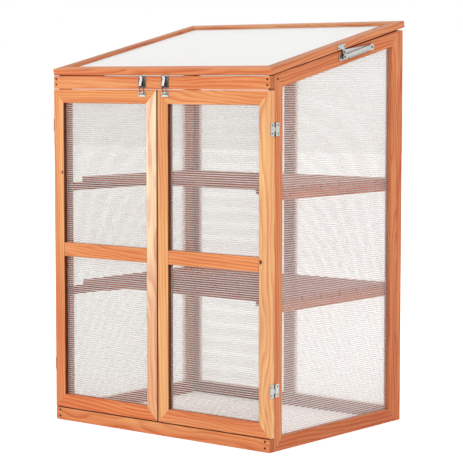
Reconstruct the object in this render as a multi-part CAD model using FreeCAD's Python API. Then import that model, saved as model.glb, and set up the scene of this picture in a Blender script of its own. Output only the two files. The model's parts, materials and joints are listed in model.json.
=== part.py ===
# Wooden mini greenhouse: a glazed cabinet with a sloping lid, two doors and two slatted shelves.
# Sizes are in millimetres. X runs to the right, Y to the back and Z up.
# The origin is on the floor, under the middle of the cabinet.
import FreeCAD, Part
import math
import os

# Overall sizes
LID_WIDTH = 762.0
DEPTH = 597.0
FRONT_HEIGHT = 978.0
BACK_HEIGHT = 1111.0
LID_OVERHANG = 3.0

# Timber of the cabinet
BOARD = 20.0
BASE_RAIL_HEIGHT = 35.0
HEADER_HEIGHT = 35.0
SIDE_FRONT_STILE = 33.0
SIDE_BACK_STILE = 33.0
SIDE_BOTTOM_RAIL = 36.0
SIDE_TOP_RAIL = 38.0
BACK_STILE = 34.0
BACK_CENTRE_STILE = 35.0
BACK_BOTTOM_RAIL = 36.0
BACK_TOP_RAIL = 38.0
EASED_EDGE = 1.0

# Timber of the lid and the doors
LID_THICKNESS = 18.0
LID_RAIL = 34.0
DOOR_MEMBER = 37.0
DOOR_MID_RAIL_HEIGHT = 480.5

# Clearances between the timber pieces
LID_FRONT_GAP = 1.0
LID_BACK_GAP = 3.2
HEADER_TO_LID = 0.4
DOOR_END_GAP = 1.5
DOOR_MEETING_GAP = 3.0
DOOR_BACK_GAP = 0.5
DOOR_OVERHANG = 1.5

# Twin-wall panes in their grooves, with the timber left behind each groove
PANE = 4.0
PANE_CLEARANCE = 0.3
GROOVE_DEPTH = 6.0
PANE_EDGE_GAP = 1.0
GROOVE_BACKING = 4.4
LID_GROOVE_BACKING = 6.4
TENON_CLEARANCE = 0.15

# Shelves
UPPER_SHELF_TOP = 678.0
LOWER_SHELF_TOP = 387.0
SLAT_COUNT = 6
SLAT_GAP = 11.0
SLAT_THICKNESS = 14.0
SHELF_FRONT_SPACE = 69.0
SHELF_BACK_GAP = 1.5
SHELF_END_GAP = 1.0
BATTEN_WIDTH = 35.0
BATTEN_THICKNESS = 12.0
BATTEN_FROM_SIDE = 80.5
BATTEN_SETBACK = 5.0
CLEAT_WIDTH = 20.0
CLEAT_HEIGHT = 22.0
CLEAT_FRONT_SPACE = 9.0

# Butt hinges
HINGE_LENGTH = 34.0
LEAF_WIDTH = 18.0
LEAF_THICKNESS = 1.2
CURL_LENGTH = 4.8
BARREL_RADIUS = 2.2
BARREL_GAP = 0.3
HINGE_PIN_RADIUS = 1.0
PIN_CLEARANCE = 0.06
PIN_END = 0.6
KNUCKLE_GAP = 0.4
KNUCKLE_COUNT = 3
UPPER_HINGE_FROM_DOOR_TOP = 98.0
LOWER_HINGE_FROM_DOOR_BOTTOM = 121.5
LID_PIN_BELOW_LID = 5.3
LID_PIN_INSIDE_BACK = 1.1
LID_HINGE_FROM_MIDDLE = 250.0

# Draw latches, heights from the underside of the header and reach from its front
LATCH_X = {"left": -51.0, "right": 29.0}
LATCH_PLATE_WIDTH = 26.0
LATCH_PLATE_HEIGHT = 30.0
LATCH_PLATE_FROM_HEADER_EDGE = 4.2
LATCH_SHEET = 1.2
LEVER_PIVOT_HEIGHT = 11.2
LEVER_PIVOT_REACH = 6.5
LEVER_WIDTH = 8.0
LEVER_SHEET = 1.3
LEVER_BOSS_RADIUS = 3.2
LEVER_SILL_REACH = 1.9
LEVER_SILL_RISE = 3.8
LEVER_CURL_REACH = 1.7
LEVER_CURL_RISE = 5.2
LEVER_CURL_DEPTH = 2.6
LEVER_TIP_HEIGHT = 25.0
LEVER_TIP_REACH = 3.0
TRUNNION_RADIUS = 1.5
TRUNNION_CLEARANCE = 0.05
EAR_GAP = 0.3
EAR_RADIUS = 3.6
BAIL_EYE_RISE = 13.0
BAIL_EYE_SET_BACK = 3.1
BAIL_EYE_WALL = 0.9
BAIL_WIRE_RADIUS = 0.95
BAIL_HOLE_CLEARANCE = 0.06
BAIL_BEND = 2.4
BAIL_BEND_STEPS = 3
BAIL_EAR_GAP = 0.35
BAIL_BAR_BELOW_HEADER = 13.1
STRIKE_WIDTH = 24.0
STRIKE_HEIGHT = 13.0
STRIKE_TOP_ABOVE_BAR = 6.3
NOSE_SIDE_GAP = 0.85
NOSE_CLEARANCE = 0.55
NOSE_PAST_BAIL = 1.4

# Folding stay on the right, placed from the lid pin: along the slope to the back and square to it
STAY_SIDE_PIVOT = (-300.0, -14.0)
STAY_LID_PIVOT = (-297.0, -1.5)
STAY_ELBOW = (-172.0, -14.0)
STAY_SHEET = 1.5
STAY_LID_GAP = 0.4
STAY_ARM_GAP = 0.8
STAY_UPPER_WIDTH = 13.0
STAY_LOWER_WIDTH = 14.0
STAY_UPPER_ELBOW_RADIUS = 8.6
STAY_LOWER_ELBOW_RADIUS = 9.6
STAY_FLANGE = 2.4
STAY_POST_RADIUS = 4.5
STAY_RIVET_RADIUS = 2.2
STAY_RIVET_HEAD_RADIUS = 3.6
STAY_RIVET_CROWN_RADIUS = 2.2
STAY_RIVET_CLEARANCE = 0.06
STAY_HEAD_GAP = 0.3
STAY_HEAD = 1.4
STAY_PLATE_LENGTH = 34.0
STAY_PLATE_HEIGHT = 16.0
STAY_PLATE_CORNER = 3.0
STAY_LID_PLATE_HEIGHT = 12.0
STAY_LID_PLATE_SHIFT = -7.0

# How far a cutting solid runs past what it cuts, and how near two lengths are that count as the same
CUT_MARGIN = 1.0
SAME_LENGTH = 0.001

# Flats around a hinge pin, its bore and the wire of a bail, which are too fine to need a true round
FINE_ROUND_FLATS = 12

# Places worked out from the sizes above
HALF_WIDTH = LID_WIDTH / 2 - LID_OVERHANG
FRONT = -DEPTH / 2
BACK = DEPTH / 2
SIDE_FRONT = FRONT + BOARD
SIDE_BACK = BACK - BOARD
SIDE_INNER = HALF_WIDTH - BOARD
DOOR_THICKNESS = BOARD - DOOR_BACK_GAP
TILT = math.atan2(BACK_HEIGHT - FRONT_HEIGHT, DEPTH)
LID_LENGTH = math.hypot(BACK_HEIGHT - FRONT_HEIGHT, DEPTH)


def lid_underside(y):
    """Height of the plane of the lid's underside at a depth y."""
    return FRONT_HEIGHT - LID_THICKNESS / math.cos(TILT) + (y - FRONT) * math.tan(TILT)


HEADER_TOP = lid_underside(FRONT) - HEADER_TO_LID
HEADER_BOTTOM = HEADER_TOP - HEADER_HEIGHT
SIDE_FRONT_TOP = lid_underside(SIDE_FRONT) - LID_FRONT_GAP
SIDE_BACK_TOP = lid_underside(SIDE_BACK) - LID_BACK_GAP
DOOR_BOTTOM = BASE_RAIL_HEIGHT + DOOR_END_GAP
DOOR_TOP = HEADER_BOTTOM - DOOR_END_GAP
DOOR_OUTER = HALF_WIDTH + DOOR_OVERHANG
DOOR_PIN_OFFSET = DOOR_OVERHANG + BARREL_GAP + BARREL_RADIUS
GROOVE_WIDTH = PANE + 2 * PANE_CLEARANCE

HANDS = {"left": -1.0, "right": 1.0}
X_AXIS = FreeCAD.Vector(1, 0, 0)
Y_AXIS = FreeCAD.Vector(0, 1, 0)
Z_AXIS = FreeCAD.Vector(0, 0, 1)
UP_SLOPE = FreeCAD.Vector(0, math.cos(TILT), math.sin(TILT))
OFF_SLOPE = FreeCAD.Vector(0, -math.sin(TILT), math.cos(TILT))


def rectangle(low, high):
    """The corners of an upright rectangle, anticlockwise from its lowest one."""
    return [low, (high[0], low[1]), high, (low[0], high[1])]


def fine_round(radius):
    """Corners of a small round, which touch a circle of the radius from inside."""
    corners = []
    for corner in range(FINE_ROUND_FLATS):
        turn = 2 * math.pi * corner / FINE_ROUND_FLATS
        corners.append((radius * math.cos(turn), radius * math.sin(turn)))
    return corners


class Place:
    """A working plane: a runs across, b runs up and c runs deep into the piece."""

    def __init__(self, origin, across, up, deep):
        self.origin = origin
        self.across = across
        self.up = up
        self.deep = deep

    def point(self, a, b, c=0.0):
        return self.origin + self.across * a + self.up * b + self.deep * c

    def prism(self, outline, start, end):
        """A solid between two depths, with a straight-sided outline."""
        points = [self.point(a, b, start) for a, b in outline]
        face = Part.Face(Part.makePolygon(points + points[:1]))
        return face.extrude(self.deep * (end - start))

    def block(self, low, high, start, end):
        """A prism with a rectangular outline."""
        return self.prism(rectangle(low, high), start, end)

    def cylinder(self, centre, radius, start, end):
        base = self.point(centre[0], centre[1], start)
        return Part.makeCylinder(radius, end - start, base, self.deep)

    def cone(self, centre, radius, end_radius, start, end):
        base = self.point(centre[0], centre[1], start)
        return Part.makeCone(radius, end_radius, end - start, base, self.deep)

    def swapped(self):
        """The same plane with across and up exchanged."""
        return Place(self.origin, self.up, self.across, self.deep)


def fused(pieces):
    """One solid from pieces that touch or overlap."""
    whole = pieces[0]
    if len(pieces) > 1:
        whole = pieces[0].fuse(pieces[1:])
    return whole.removeSplitter()


def edges_along(solid, direction):
    """The straight edges of a solid that run along a direction."""
    chosen = []
    for edge in solid.Edges:
        start, end = edge.Vertexes[0].Point, edge.Vertexes[-1].Point
        if abs(abs((end - start).dot(direction)) - edge.Length) < SAME_LENGTH:
            chosen.append(edge)
    return chosen


def eased(solid, direction):
    """Take the sharpness off the long edges of a piece of timber."""
    return solid.makeChamfer(EASED_EDGE, edges_along(solid, direction))


def rounded(solid, direction, radius):
    """Round the corners of a metal plate."""
    return solid.makeFillet(radius, edges_along(solid, direction))


def inset(corners, widths):
    """Move each side of an outline inwards by its own width; the outline turns anticlockwise."""
    sides = []
    for index, corner in enumerate(corners):
        following = corners[(index + 1) % len(corners)]
        length = math.dist(corner, following)
        along = ((following[0] - corner[0]) / length, (following[1] - corner[1]) / length)
        moved = (corner[0] - along[1] * widths[index], corner[1] + along[0] * widths[index])
        sides.append((moved, along))
    inner = []
    for index in range(len(corners)):
        start, along = sides[index - 1]
        other, ahead = sides[index]
        span = (other[0] - start[0], other[1] - start[1])
        turn = along[0] * ahead[1] - along[1] * ahead[0]
        reach = (span[0] * ahead[1] - span[1] * ahead[0]) / turn
        inner.append((start[0] + along[0] * reach, start[1] + along[1] * reach))
    return inner


def grown(corners, amount):
    """The outline moved outwards by the same amount on every side."""
    return inset(corners, [-amount] * len(corners))


class Frame:
    """A mitred frame in a plane, grooved on its inner edges for a pane."""

    def __init__(self, place, corners, widths, thickness, backing):
        self.place = place
        self.corners = corners
        self.opening = inset(corners, widths)
        self.thickness = thickness
        self.recess = thickness - backing - GROOVE_WIDTH

    def groove(self, opening):
        outline = grown(opening, GROOVE_DEPTH)
        return self.place.prism(outline, self.recess, self.recess + GROOVE_WIDTH)

    def member(self, index):
        """One side of the frame, mitred at both ends."""
        following = (index + 1) % len(self.corners)
        outer = [self.corners[index], self.corners[following]]
        outline = outer + [self.opening[following], self.opening[index]]
        blank = self.place.prism(outline, 0.0, self.thickness)
        along = self.place.point(*outer[1]) - self.place.point(*outer[0])
        blank = eased(blank, along * (1.0 / along.Length))
        return blank.cut(self.groove(self.opening))

    def divider(self, place, low, high):
        """A straight bar between two members, grooved on both long edges, with a tenon at each end."""
        blank = eased(place.block(low, high, 0.0, self.thickness), place.across)
        groove_end = self.recess + GROOVE_WIDTH
        for edge in (low[1], high[1]):
            groove_low = (low[0] - CUT_MARGIN, edge - GROOVE_DEPTH)
            groove_high = (high[0] + CUT_MARGIN, edge + GROOVE_DEPTH)
            blank = blank.cut(place.block(groove_low, groove_high, self.recess, groove_end))
        reach = GROOVE_DEPTH - PANE_EDGE_GAP
        tenon_low = (low[0] - reach, low[1] + GROOVE_DEPTH)
        tenon_high = (high[0] + reach, high[1] - GROOVE_DEPTH)
        tenon_start = self.recess + TENON_CLEARANCE
        tenon = place.block(tenon_low, tenon_high, tenon_start, groove_end - TENON_CLEARANCE)
        return fused([blank, tenon])

    def pane(self, opening):
        """A sheet that stands in the grooves around an opening."""
        start = self.recess + PANE_CLEARANCE
        outline = grown(opening, GROOVE_DEPTH - PANE_EDGE_GAP)
        return self.place.prism(outline, start, start + PANE)


def board(low, high, direction):
    """A straight board with its long edges eased."""
    size = [high[axis] - low[axis] for axis in range(3)]
    blank = Part.makeBox(*size, FreeCAD.Vector(*low))
    return eased(blank, direction)


# Cabinet

def base_rail():
    low = (-HALF_WIDTH, FRONT, 0.0)
    return board(low, (HALF_WIDTH, SIDE_FRONT, BASE_RAIL_HEIGHT), X_AXIS)


def header_rail():
    low = (-HALF_WIDTH, FRONT, HEADER_BOTTOM)
    return board(low, (HALF_WIDTH, SIDE_FRONT, HEADER_TOP), X_AXIS)


def side_panel(name):
    """Two stiles, two rails and a pane; the top rail follows the slope of the lid."""
    hand = HANDS[name]
    place = Place(FreeCAD.Vector(hand * HALF_WIDTH, 0, 0), Y_AXIS, Z_AXIS, X_AXIS * -hand)
    corners = [(SIDE_FRONT, 0.0), (SIDE_BACK, 0.0)]
    corners += [(SIDE_BACK, SIDE_BACK_TOP), (SIDE_FRONT, SIDE_FRONT_TOP)]
    widths = [SIDE_BOTTOM_RAIL, SIDE_BACK_STILE, SIDE_TOP_RAIL, SIDE_FRONT_STILE]
    frame = Frame(place, corners, widths, BOARD, GROOVE_BACKING)
    members = {}
    for index, member in enumerate(("bottom_rail", "back_stile", "top_rail", "front_stile")):
        members[name + "_side_" + member] = frame.member(index)
    members[name + "_side_pane"] = frame.pane(frame.opening)
    return members


def back_panel():
    """A frame with a centre stile and a pane on each side of it."""
    place = Place(FreeCAD.Vector(0, BACK, 0), -X_AXIS, Z_AXIS, -Y_AXIS)
    corners = rectangle((-HALF_WIDTH, 0.0), (HALF_WIDTH, SIDE_BACK_TOP))
    widths = [BACK_BOTTOM_RAIL, BACK_STILE, BACK_TOP_RAIL, BACK_STILE]
    frame = Frame(place, corners, widths, BOARD, GROOVE_BACKING)
    members = {}
    for index, member in enumerate(("bottom_rail", "left_stile", "top_rail", "right_stile")):
        members["back_" + member] = frame.member(index)
    low, high = frame.opening[0], frame.opening[2]
    half = BACK_CENTRE_STILE / 2
    members["back_centre_stile"] = frame.divider(place.swapped(), (low[1], -half), (high[1], half))
    panes = []
    for start, end in ((low[0], -half), (half, high[0])):
        panes.append(frame.pane(rectangle((start, low[1]), (end, high[1]))))
    members["back_panes"] = Part.makeCompound(panes)
    return members


# Shelves

def shelf(top):
    """Slats from side to side, held together by a batten under them near each end."""
    front = FRONT + DOOR_THICKNESS + SHELF_FRONT_SPACE
    back = SIDE_BACK - SHELF_BACK_GAP
    width = (back - front - (SLAT_COUNT - 1) * SLAT_GAP) / SLAT_COUNT
    end = SIDE_INNER - SHELF_END_GAP
    underside = top - SLAT_THICKNESS
    slats = []
    for index in range(SLAT_COUNT):
        start = front + index * (width + SLAT_GAP)
        slats.append(board((-end, start, underside), (end, start + width, top), X_AXIS))
    battens = []
    for hand in HANDS.values():
        middle = hand * (SIDE_INNER - BATTEN_FROM_SIDE)
        low = (middle - BATTEN_WIDTH / 2, front + BATTEN_SETBACK, underside - BATTEN_THICKNESS)
        high = (middle + BATTEN_WIDTH / 2, back - BATTEN_SETBACK, underside)
        battens.append(board(low, high, Y_AXIS))
    return slats, battens


def shelf_cleats():
    """A cleat on each side panel under the ends of each shelf."""
    cleats = []
    for top in (UPPER_SHELF_TOP, LOWER_SHELF_TOP):
        height = top - SLAT_THICKNESS
        for hand in HANDS.values():
            ends = sorted((hand * SIDE_INNER, hand * (SIDE_INNER - CLEAT_WIDTH)))
            low = (ends[0], FRONT + DOOR_THICKNESS + CLEAT_FRONT_SPACE, height - CLEAT_HEIGHT)
            high = (ends[1], SIDE_BACK - SHELF_BACK_GAP, height)
            cleats.append(board(low, high, Y_AXIS))
    return Part.makeCompound(cleats)


# Lid and doors

LID_FACE = Place(FreeCAD.Vector(0, FRONT, FRONT_HEIGHT), X_AXIS, UP_SLOPE, -OFF_SLOPE)


def lid():
    corners = rectangle((-LID_WIDTH / 2, 0.0), (LID_WIDTH / 2, LID_LENGTH))
    frame = Frame(LID_FACE, corners, [LID_RAIL] * 4, LID_THICKNESS, LID_GROOVE_BACKING)
    members = {}
    for index, member in enumerate(("front_rail", "right_rail", "back_rail", "left_rail")):
        members["lid_" + member] = frame.member(index)
    members["lid_pane"] = frame.pane(frame.opening)
    return members


def door(name):
    """A mitred frame with a middle rail and a pane above and below it."""
    place = Place(FreeCAD.Vector(0, FRONT, 0), X_AXIS * HANDS[name], Z_AXIS, Y_AXIS)
    corners = rectangle((DOOR_MEETING_GAP / 2, DOOR_BOTTOM), (DOOR_OUTER, DOOR_TOP))
    frame = Frame(place, corners, [DOOR_MEMBER] * 4, DOOR_THICKNESS, GROOVE_BACKING)
    members = {}
    for index, member in enumerate(("bottom_rail", "hinge_stile", "top_rail", "meeting_stile")):
        members[name + "_door_" + member] = frame.member(index)
    low, high = frame.opening[0], frame.opening[2]
    rail_low = DOOR_MID_RAIL_HEIGHT - DOOR_MEMBER / 2
    rail_high = DOOR_MID_RAIL_HEIGHT + DOOR_MEMBER / 2
    members[name + "_door_mid_rail"] = frame.divider(place, (low[0], rail_low), (high[0], rail_high))
    panes = []
    for start, end in ((low[1], rail_low), (rail_high, high[1])):
        panes.append(frame.pane(rectangle((low[0], start), (high[0], end))))
    members[name + "_door_panes"] = Part.makeCompound(panes)
    return members


# Hinges, each in a plane square to its pin with the pin at the plane's origin

def knuckle_spans(own_remainder):
    """The stretches of the barrel that belong to one leaf."""
    pitch = HINGE_LENGTH / KNUCKLE_COUNT
    spans = []
    for index in range(KNUCKLE_COUNT):
        start = index * pitch
        if index > 0:
            start += KNUCKLE_GAP / 2
        end = (index + 1) * pitch
        if index < KNUCKLE_COUNT - 1:
            end -= KNUCKLE_GAP / 2
        if index % 2 == own_remainder:
            spans.append((start, end))
    return spans


def hinge_leaf(place, plate, curl, own_remainder):
    """A plate, with knuckles joined to it by a short curl."""
    pieces = [place.prism(plate, 0.0, HINGE_LENGTH)]
    for start, end in knuckle_spans(own_remainder):
        pieces.append(place.prism(curl, start, end))
        pieces.append(place.cylinder((0.0, 0.0), BARREL_RADIUS, start, end))
    bore_radius = (HINGE_PIN_RADIUS + PIN_CLEARANCE) / math.cos(math.pi / FINE_ROUND_FLATS)
    bore = place.prism(fine_round(bore_radius), -CUT_MARGIN, HINGE_LENGTH + CUT_MARGIN)
    return fused(pieces).cut(bore)


def flat_leaf(side, near, far, face):
    """Outlines of a plate that lies on a face beside the pin, and of the curl up to the barrel.

    The plate lies on the line a = face and runs in b from near to far; side is the way from the
    face to the pin.
    """
    top = face + side * LEAF_THICKNESS
    ahead = math.copysign(1.0, far - near)
    plate = [(face, near), (top, near), (top, far), (face, far)]
    curl_end = near + ahead * CURL_LENGTH
    curl = [(face, near), (side * -BARREL_RADIUS / 2, near), (0.0, ahead * BARREL_RADIUS)]
    curl += [(top, curl_end), (face, curl_end)]
    return plate, curl


def hinge_pin(place):
    return place.prism(fine_round(HINGE_PIN_RADIUS), -PIN_END, HINGE_LENGTH + PIN_END)


def door_hinge_places(name):
    """Planes of a door's two hinges: a runs outwards, b to the back and c up."""
    pin_x = HANDS[name] * (HALF_WIDTH + DOOR_PIN_OFFSET)
    pin = FreeCAD.Vector(pin_x, SIDE_FRONT - DOOR_BACK_GAP / 2, 0)
    places = []
    for middle in (DOOR_TOP - UPPER_HINGE_FROM_DOOR_TOP, DOOR_BOTTOM + LOWER_HINGE_FROM_DOOR_BOTTOM):
        origin = pin + Z_AXIS * (middle - HINGE_LENGTH / 2)
        places.append(Place(origin, X_AXIS * HANDS[name], Y_AXIS, Z_AXIS))
    return places


LID_PIN = LID_FACE.point(0.0, LID_LENGTH - LID_PIN_INSIDE_BACK, LID_THICKNESS + LID_PIN_BELOW_LID)


def lid_hinge_places(across, up):
    """Planes of the lid's two hinges, square to the pins, with c running to the right."""
    places = []
    for middle in (-LID_HINGE_FROM_MIDDLE, LID_HINGE_FROM_MIDDLE):
        origin = LID_PIN + X_AXIS * (middle - HINGE_LENGTH / 2)
        places.append(Place(origin, across, up, X_AXIS))
    return places


def door_hinge_leaves():
    """The leaves on the side panels, then those on each door's outer edge."""
    nodes = {}
    half_gap = DOOR_BACK_GAP / 2
    frame_plate, frame_curl = flat_leaf(1.0, half_gap, LEAF_WIDTH, -DOOR_PIN_OFFSET)
    near = -half_gap - BARREL_RADIUS
    door_face = DOOR_OVERHANG - DOOR_PIN_OFFSET
    far = near + LEAF_THICKNESS - LEAF_WIDTH
    door_plate, door_curl = flat_leaf(1.0, -half_gap, far, door_face)
    door_plate = [(a, min(b, near)) for a, b in door_plate]
    frame_leaves = []
    for name in HANDS:
        door_leaves = []
        for place in door_hinge_places(name):
            frame_leaves.append(hinge_leaf(place, frame_plate, frame_curl, 0))
            door_leaves.append(hinge_leaf(place, door_plate, door_curl, 1))
        nodes[name + "_door_hinge_leaves"] = Part.makeCompound(door_leaves)
    nodes["door_hinge_frame_leaves"] = Part.makeCompound(frame_leaves)
    return nodes


def lid_hinge_leaves():
    """The leaves on the back panel, then those on the back edge of the lid."""
    panel_face = BACK - LID_PIN.y
    panel_top = SIDE_BACK_TOP - LID_PIN.z
    panel_plate = flat_leaf(1.0, panel_top, panel_top - LEAF_WIDTH, panel_face)[0]
    panel_curl = [panel_plate[0], (panel_face, 0.0), (0.0, BARREL_RADIUS), (BARREL_RADIUS, 0.0)]
    panel_curl += [(0.0, -BARREL_RADIUS), panel_plate[1]]
    panel_leaves = []
    for place in lid_hinge_places(Y_AXIS, Z_AXIS):
        panel_leaves.append(hinge_leaf(place, panel_plate, panel_curl, 0))
    low = (LID_PIN_INSIDE_BACK, LID_PIN_BELOW_LID)
    high = (LID_PIN_INSIDE_BACK + LEAF_THICKNESS, LID_PIN_BELOW_LID + LID_THICKNESS - EASED_EDGE)
    lid_curl = [(0.0, 0.0), (BARREL_RADIUS, 0.0), (high[0], low[1]), low]
    lid_leaves = []
    for place in lid_hinge_places(UP_SLOPE, OFF_SLOPE):
        lid_leaves.append(hinge_leaf(place, rectangle(low, high), lid_curl, 1))
    return {
        "lid_hinge_frame_leaves": Part.makeCompound(panel_leaves),
        "lid_hinge_lid_leaves": Part.makeCompound(lid_leaves),
    }


def hinge_pins():
    places = lid_hinge_places(Y_AXIS, Z_AXIS)
    for name in HANDS:
        places += door_hinge_places(name)
    return Part.makeCompound([hinge_pin(place) for place in places])


# Draw latches: a runs out from the front of the header, b up from its underside and c to the right

def latch_place(name):
    origin = FreeCAD.Vector(LATCH_X[name], FRONT, HEADER_BOTTOM)
    return Place(origin, -Y_AXIS, Z_AXIS, X_AXIS)


LEVER_PIVOT = (LEVER_PIVOT_REACH, LEVER_PIVOT_HEIGHT)
BAIL_EYE = (LEVER_PIVOT_REACH - BAIL_EYE_SET_BACK, LEVER_PIVOT_HEIGHT + BAIL_EYE_RISE)
BAIL_EYE_RADIUS = BAIL_WIRE_RADIUS + BAIL_HOLE_CLEARANCE + BAIL_EYE_WALL
EAR_INNER = LEVER_WIDTH / 2 + EAR_GAP
EAR_OUTER = EAR_INNER + LATCH_SHEET
BAIL_HALF_WIDTH = EAR_OUTER + BAIL_EAR_GAP + BAIL_WIRE_RADIUS


def latch_base_plate(name):
    """A plate on the header with two ears that carry the lever."""
    place = latch_place(name)
    half = LATCH_PLATE_WIDTH / 2
    low = (0.0, LATCH_PLATE_FROM_HEADER_EDGE)
    high = (LATCH_SHEET, LATCH_PLATE_FROM_HEADER_EDGE + LATCH_PLATE_HEIGHT)
    pieces = [place.block(low, high, -half, half)]
    foot = LEVER_PIVOT_HEIGHT - LATCH_PLATE_FROM_HEADER_EDGE
    ear = [(0.0, low[1]), (LEVER_PIVOT_REACH, LEVER_PIVOT_HEIGHT - EAR_RADIUS)]
    ear += [(LEVER_PIVOT_REACH, LEVER_PIVOT_HEIGHT + EAR_RADIUS), (0.0, LEVER_PIVOT_HEIGHT + foot)]
    for start in (-EAR_OUTER, EAR_INNER):
        pieces.append(place.prism(ear, start, start + LATCH_SHEET))
        pieces.append(place.cylinder(LEVER_PIVOT, EAR_RADIUS, start, start + LATCH_SHEET))
    bore = place.cylinder(LEVER_PIVOT, TRUNNION_RADIUS + TRUNNION_CLEARANCE, -half, half)
    return fused(pieces).cut(bore)


def lever_outline(place, shift, depth, pocket):
    """Side outline of the lever: a boss at the pivot, the bail eye and a tip that curls outwards.

    The outline of the pocket starts above the boss and is open at the tip.
    """
    def at(a, b):
        return place.point(a - shift, b, depth)

    reach, height = LEVER_PIVOT
    eye_reach, eye_height = BAIL_EYE
    tip_reach = reach + LEVER_TIP_REACH
    tip_height = height + LEVER_TIP_HEIGHT
    eye_in = at(eye_reach - BAIL_EYE_RADIUS, eye_height)
    eye_out = at(eye_reach + BAIL_EYE_RADIUS, eye_height)
    tip_in = at(tip_reach - LEVER_SHEET, tip_height)
    tip_out = at(tip_reach, tip_height)
    curl_reach = eye_reach + LEVER_CURL_REACH
    curl_height = eye_height + LEVER_CURL_RISE
    outer_curve = Part.Arc(tip_out, at(curl_reach, curl_height), eye_out).toShape()
    if pocket:
        sill_out = at(reach + LEVER_SILL_REACH, height + LEVER_SILL_RISE)
        sill_in = at(0.0, height + LEVER_SILL_RISE)
        corner = at(0.0, tip_height)
        edges = [outer_curve, Part.makeLine(eye_out, sill_out), Part.makeLine(sill_out, sill_in)]
        edges += [Part.makeLine(sill_in, corner), Part.makeLine(corner, tip_out)]
        return Part.Face(Part.Wire(edges))
    boss_out = at(reach + LEVER_BOSS_RADIUS, height)
    boss_low = at(reach, height - LEVER_BOSS_RADIUS)
    boss_in = at(reach - LEVER_BOSS_RADIUS, height)
    inner_bend = at(curl_reach - LEVER_CURL_DEPTH, curl_height)
    edges = [
        Part.Arc(boss_out, boss_low, boss_in).toShape(),
        Part.makeLine(boss_in, eye_in),
        Part.Arc(eye_in, inner_bend, tip_in).toShape(),
        Part.makeLine(tip_in, tip_out),
        outer_curve,
        Part.makeLine(eye_out, boss_out),
    ]
    return Part.Face(Part.Wire(edges))


def latch_lever(name):
    """A pressed channel, open towards the header, that turns on a cross pin in the ears."""
    place = latch_place(name)
    half = LEVER_WIDTH / 2
    inside = half - LEVER_SHEET
    body = lever_outline(place, 0.0, -half, False).extrude(X_AXIS * LEVER_WIDTH)
    pocket = lever_outline(place, LEVER_SHEET, -inside, True).extrude(X_AXIS * (2 * inside))
    eye = place.cylinder(BAIL_EYE, BAIL_WIRE_RADIUS + BAIL_HOLE_CLEARANCE, -half, half)
    body = body.cut(pocket).cut(eye)
    return fused([body, place.cylinder(LEVER_PIVOT, TRUNNION_RADIUS, -EAR_OUTER, EAR_OUTER)])


def latch_bail(name):
    """A bent wire from one side of the lever, down round the strike and up to the other side."""
    place = latch_place(name)
    reach, top = BAIL_EYE
    inner = LEVER_WIDTH / 2 - LEVER_SHEET
    side = BAIL_HALF_WIDTH - BAIL_BEND
    low = BAIL_BEND - BAIL_BAR_BELOW_HEADER
    high = top - BAIL_BEND
    path = [(-inner, top)]
    for corner, (across, height) in enumerate([(-side, high), (-side, low), (side, low), (side, high)]):
        for step in range(BAIL_BEND_STEPS + 1):
            turn = math.radians(90 + 90 * (corner + step / BAIL_BEND_STEPS))
            path.append((across + BAIL_BEND * math.cos(turn), height + BAIL_BEND * math.sin(turn)))
    path.append((inner, top))
    route = Part.makePolygon([place.point(reach, height, across) for across, height in path])
    wire = fine_round(BAIL_WIRE_RADIUS)
    section = [place.point(reach + out, top + up, -inner) for out, up in wire]
    return route.makePipeShell([Part.makePolygon(section + section[:1])], True, False, 1)


def latch_strike(name):
    """A plate on the door with a nose that the bail hooks under."""
    place = latch_place(name)
    half = STRIKE_WIDTH / 2
    top = STRIKE_TOP_ABOVE_BAR - BAIL_BAR_BELOW_HEADER
    plate = place.block((0.0, top - STRIKE_HEIGHT), (LATCH_SHEET, top), -half, half)
    nose_low = BAIL_WIRE_RADIUS + NOSE_CLEARANCE - BAIL_BAR_BELOW_HEADER
    nose_high = (BAIL_EYE[0] + BAIL_WIRE_RADIUS + NOSE_PAST_BAIL, nose_low + LATCH_SHEET)
    nose_half = BAIL_HALF_WIDTH - BAIL_WIRE_RADIUS - NOSE_SIDE_GAP
    return fused([plate, place.block((0.0, nose_low), nose_high, -nose_half, nose_half)])


# Folding stay: a runs up the slope from the lid pin, b square to it and c to the right

STAY = Place(FreeCAD.Vector(0, LID_PIN.y, LID_PIN.z), UP_SLOPE, OFF_SLOPE, X_AXIS)
LID_SIDE = LID_WIDTH / 2
UPPER_ARM_START = LID_SIDE + STAY_SHEET + STAY_LID_GAP
UPPER_ARM_END = UPPER_ARM_START + STAY_SHEET
LOWER_ARM_START = UPPER_ARM_END + STAY_ARM_GAP
LOWER_ARM_END = LOWER_ARM_START + STAY_SHEET
RIVET_HOLE = STAY_RIVET_RADIUS + STAY_RIVET_CLEARANCE


def strap(first, second, width, start, end):
    """A flat bar between two pivots."""
    share = width / 2 / math.dist(first, second)
    side = ((first[1] - second[1]) * share, (second[0] - first[0]) * share)
    outline = [(first[0] - side[0], first[1] - side[1]), (second[0] - side[0], second[1] - side[1])]
    outline += [(second[0] + side[0], second[1] + side[1]), (first[0] + side[0], first[1] + side[1])]
    return STAY.prism(outline, start, end)


def stay_side_bracket():
    """A plate on the side panel with a post that carries the lower arm."""
    a, b = STAY_SIDE_PIVOT
    low = (a - STAY_PLATE_LENGTH / 2, b - STAY_PLATE_HEIGHT / 2)
    high = (a + STAY_PLATE_LENGTH / 2, b + STAY_PLATE_HEIGHT / 2)
    plate = STAY.block(low, high, HALF_WIDTH, HALF_WIDTH + STAY_SHEET)
    plate = rounded(plate, X_AXIS, STAY_PLATE_CORNER)
    post_end = LOWER_ARM_START - STAY_HEAD_GAP
    post = STAY.cylinder(STAY_SIDE_PIVOT, STAY_POST_RADIUS, HALF_WIDTH, post_end)
    bore = STAY.cylinder(STAY_SIDE_PIVOT, RIVET_HOLE, HALF_WIDTH, post_end)
    return fused([plate, post]).cut(bore)


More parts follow.
